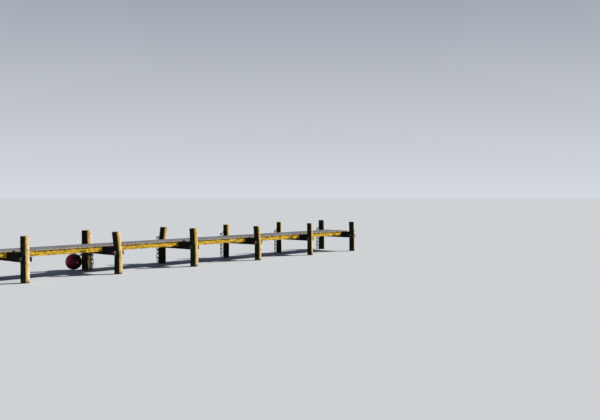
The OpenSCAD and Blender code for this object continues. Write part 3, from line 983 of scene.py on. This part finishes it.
def fender_finish():
    """Red vinyl, bright on the side away from the post and painted near black towards it as painted shade,
    with scuffs, a painted glint, and a darkening low on the ball that is partly grime and partly painted
    shade, under a clear gloss. The eye is a pale hard plastic."""
    vinyl = Finish("red_vinyl", IOR=1.4, Specular_IOR_Level=0.25)
    eye, seam, rub, outer = vinyl.marks("eye", "seam", "rub", "outer")
    grime = vinyl.noise((9, 9, 16), 5, 0.6, 0.4)
    scuff = vinyl.noise((60, 14, 34), 5, 0.7, 0.9)
    scrape = vinyl.noise((34, 34, 70), 5, 0.68, 0.3)
    # The side towards the post is painted near black as painted shade; the side away stays bright red.
    kept = (outer + (grime - 0.5) * 0.4).over(0.24, 0.74)
    worn = (grime * 0.7 + scuff * 0.5).over(0.45, 0.72)
    bright = vinyl.mix((0.40, 0.014, 0.060), (0.26, 0.008, 0.034), worn)
    red = vinyl.mix((0.035, 0.002, 0.006), bright, kept)
    scuffed = vinyl.mix(red, (0.42, 0.13, 0.15), scuff.over(0.60, 0.74) * 0.35 * kept)
    # Low on the ball the red darkens: painted shade, with some grime.
    film = (vinyl.height() + (grime - 0.5) * 0.25).over(0.26, 0.06)
    dirty = vinyl.mix(scuffed, (0.010, 0.008, 0.007), film * 0.85 + seam * 0.4)
    # The painted glint, broken up by noise.
    scraped = (rub + (scrape - 0.5) * 2.2).over(0.40, 0.80) * rub.over(0.12, 0.3)
    rubbed = vinyl.mix(dirty, (0.92, 0.08, 0.09), scraped)
    tipped = vinyl.mix(rubbed, (0.86, 0.76, 0.74), eye)
    rough = 0.34 + grime * 0.2 + film * 0.3 + scuff.over(0.6, 0.72) * 0.2
    return vinyl.wire(scuff * 0.4 + grime * 0.2, 0.0008, Base_Color=tipped, Roughness=rough,
                      Coat_Weight=0.08 - film * 0.08)


def tilted(local, turn, tilt, place):
    """Points with their third axis tilted from upright in the plane of the first, then turned about
    the upright and moved to their place."""
    a, b, c = local[..., 0], local[..., 1], local[..., 2]
    a, c = a * math.cos(tilt) + c * math.sin(tilt), c * math.cos(tilt) - a * math.sin(tilt)
    x, y = a * math.cos(turn) - b * math.sin(turn), a * math.sin(turn) + b * math.cos(turn)
    return np.stack([x, y, c], -1) + place


def closed_ring(line, section_r, sides, out):
    """A round bar bent along a closed line: its section stands on the outward direction and the
    upright of the line at each point."""
    ahead = np.roll(line, -1, 0) - np.roll(line, 1, 0)
    ahead /= np.linalg.norm(ahead, axis=1, keepdims=True)
    up = np.cross(ahead, out)
    up /= np.linalg.norm(up, axis=1, keepdims=True)
    angle = full_turn(sides)[:, None]
    section = np.cos(angle) * out[:, None] + np.sin(angle) * up[:, None]
    return line[:, None] + np.reshape(section_r, (-1, 1, 1)) * section


def dress_fender():
    """The ball and its neck as one turned skin: a circle up to the neck, then a hollow curve into a
    round collar. The eye is a ring of round section, set in the collar. Gives its middle's x and y."""
    low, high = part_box("ball_fender")
    post_low, post_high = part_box(f"far_post_{FENDER_FRAME}")
    ball_r = (high.y - low.y) / 2
    centre = np.array([low.x + ball_r, high.y - ball_r, low.z + ball_r])
    to_x, to_y = (post_low.x + post_high.x) / 2 - centre[0], (post_low.y + post_high.y) / 2 - centre[1]
    turn, tilt = math.atan2(to_y, to_x), math.pi / 2 - NECK_TILT
    towards = np.array([math.cos(turn), math.sin(turn)])

    latitude = np.linspace(POLE_GAP - 0.5 * np.pi, math.acos(NECK_R / ball_r) - NECK_GAP, BALL_ROWS)
    ball = np.stack([np.sin(latitude) * ball_r, np.cos(latitude) * ball_r], -1)
    neck_at, neck_r = ball[-1]
    t = np.linspace(0, 1, NECK_ROWS + 1)[1:]
    waist = neck_r * (1 - t) + COLLAR_R * t - NECK_HOLLOW * np.sin(np.pi * t)
    collar = np.stack([neck_at + t * (NECK_L + COLLAR_UP), waist], -1)
    profile = np.concatenate([ball, collar, collar[-1] + CAP_STEPS])
    grid = tilted(turned(profile, BALL_COLUMNS, 0.0), turn, tilt, centre)

    along, radius = profile.T[..., None]
    angle = full_turn(BALL_COLUMNS)
    seam = sum(np.exp(-(wrapped(angle - at) * radius / SEAM_W) ** 2) for at in (0, np.pi))
    # Where the painted glint sits on the ball.
    rub_flat = math.cos(RUB_RISE)
    rub_out = (math.cos(RUB_TURN) * rub_flat, math.sin(RUB_TURN) * rub_flat, math.sin(RUB_RISE))
    rub = np.exp(-((grid - (centre + ball_r * np.array(rub_out))) ** 2).sum(-1) / RUB_R ** 2)
    # How far each point is turned away from the post, for the painted shade towards it.
    outer = 0.5 - 0.5 * ((grid - centre)[..., :2] @ towards) / ball_r
    fender = Piece("eye", "seam", "rub", "outer")
    fender.skin(grid, seam=seam, rub=rub, outer=outer, eye=(along > neck_at + NECK_RED) * 1.0)

    spin = full_turn(EYE_COLUMNS)
    eye_out = np.stack([np.cos(spin), 0 * spin, np.sin(spin)], -1)
    eye_at = ball_r + NECK_L + EYE_R - EYE_BAR_R
    eye_line = eye_out * (EYE_R - EYE_BAR_R) + (0, 0, eye_at)
    fender.ring(tilted(closed_ring(eye_line, EYE_BAR_R, EYE_SIDES, eye_out), turn, tilt, centre), eye=1.0)
    fender.build("fender_ball", "fender_vinyl", red_vinyl, "ball_fender")
    return centre[:2] + towards * eye_at * math.cos(NECK_TILT)


red_vinyl = fender_finish()
eye_xy = dress_fender()

# The fender's rope
# Three strands laid right-handed make the rope. Two turns grip the post, and a wider turn below them
# runs through the eye. It is weathered dark.
ROPE_R = 0.008
ROPE_BITE = 0.002
TURN_GAP = 0.001
STRAND_R = 0.0042
STRAND_OUT = 0.0038
STRAND_PLAY = 0.04
STRAND_SIDES = 8
LAY_L = 0.052
LAY_STEPS = 14


def rope_finish():
    """Dark fibre rope: fine thread and dirt, paler where it is worn."""
    rope = Finish("laid_rope")
    thread = rope.noise((520, 520, 520), 3, 0.6)
    dirt = rope.noise((60, 60, 60), 4, 0.6)
    worn = (thread * 0.6 + dirt * 0.6).over(0.42, 0.8)
    brown = rope.mix((0.014, 0.011, 0.009), (0.075, 0.060, 0.045), worn)
    return rope.wire(thread, 0.0012, Base_Color=brown, Roughness=0.95 - dirt * 0.1)


def rope_turn(piece, centre, radius, rng):
    """Three strands wound about one ring: each runs on a small circle about the ring's line, a whole
    number of times round, so that it meets its own start."""
    lays = round(2 * math.pi * radius / LAY_L)
    turn = full_turn(lays * LAY_STEPS)
    out = np.stack([np.cos(turn), np.sin(turn), 0 * turn], -1)
    line = centre + radius * out
    for strand in range(3):
        phase = turn * lays + strand * 2 * np.pi / 3
        lift = np.cos(phase)[:, None] * out + np.sin(phase)[:, None] * np.array([0, 0, 1.0])
        strand_r = STRAND_R * (1 + STRAND_PLAY * rng.standard_normal(len(turn)))
        piece.ring(closed_ring(line + lift * STRAND_OUT, strand_r, STRAND_SIDES, lift))


def dress_rope():
    """One turn from the post's other side out to the middle of the eye, and two tight turns above it
    on the post."""
    rng = np.random.default_rng(700)
    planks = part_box(f"cross_planks_{FENDER_FRAME}")
    rings, post_y = log_rings(f"far_post_{FENDER_FRAME}", planks[0].z)
    post = np.array([(planks[0].x + planks[1].x) / 2, post_y])
    eye_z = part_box("fender_rope")[0].z + ROPE_R
    grip_r = float(np.interp(eye_z, rings[:, 1], rings[:, 2])) + ROPE_R - ROPE_BITE
    away = eye_xy - post
    reach = float(np.linalg.norm(away))
    loop_r = (grip_r + reach) / 2
    rope = Piece()
    rope_turn(rope, np.array([*(post + away / reach * (reach - loop_r)), eye_z]), loop_r, rng)
    for turn_no in (1, 2):
        rope_turn(rope, np.array([*post, eye_z + turn_no * (2 * ROPE_R + TURN_GAP)]), grip_r, rng)
    rope.build("rope_fender", "rope_fibre", laid_rope, "fender_rope")


laid_rope = rope_finish()
dress_rope()
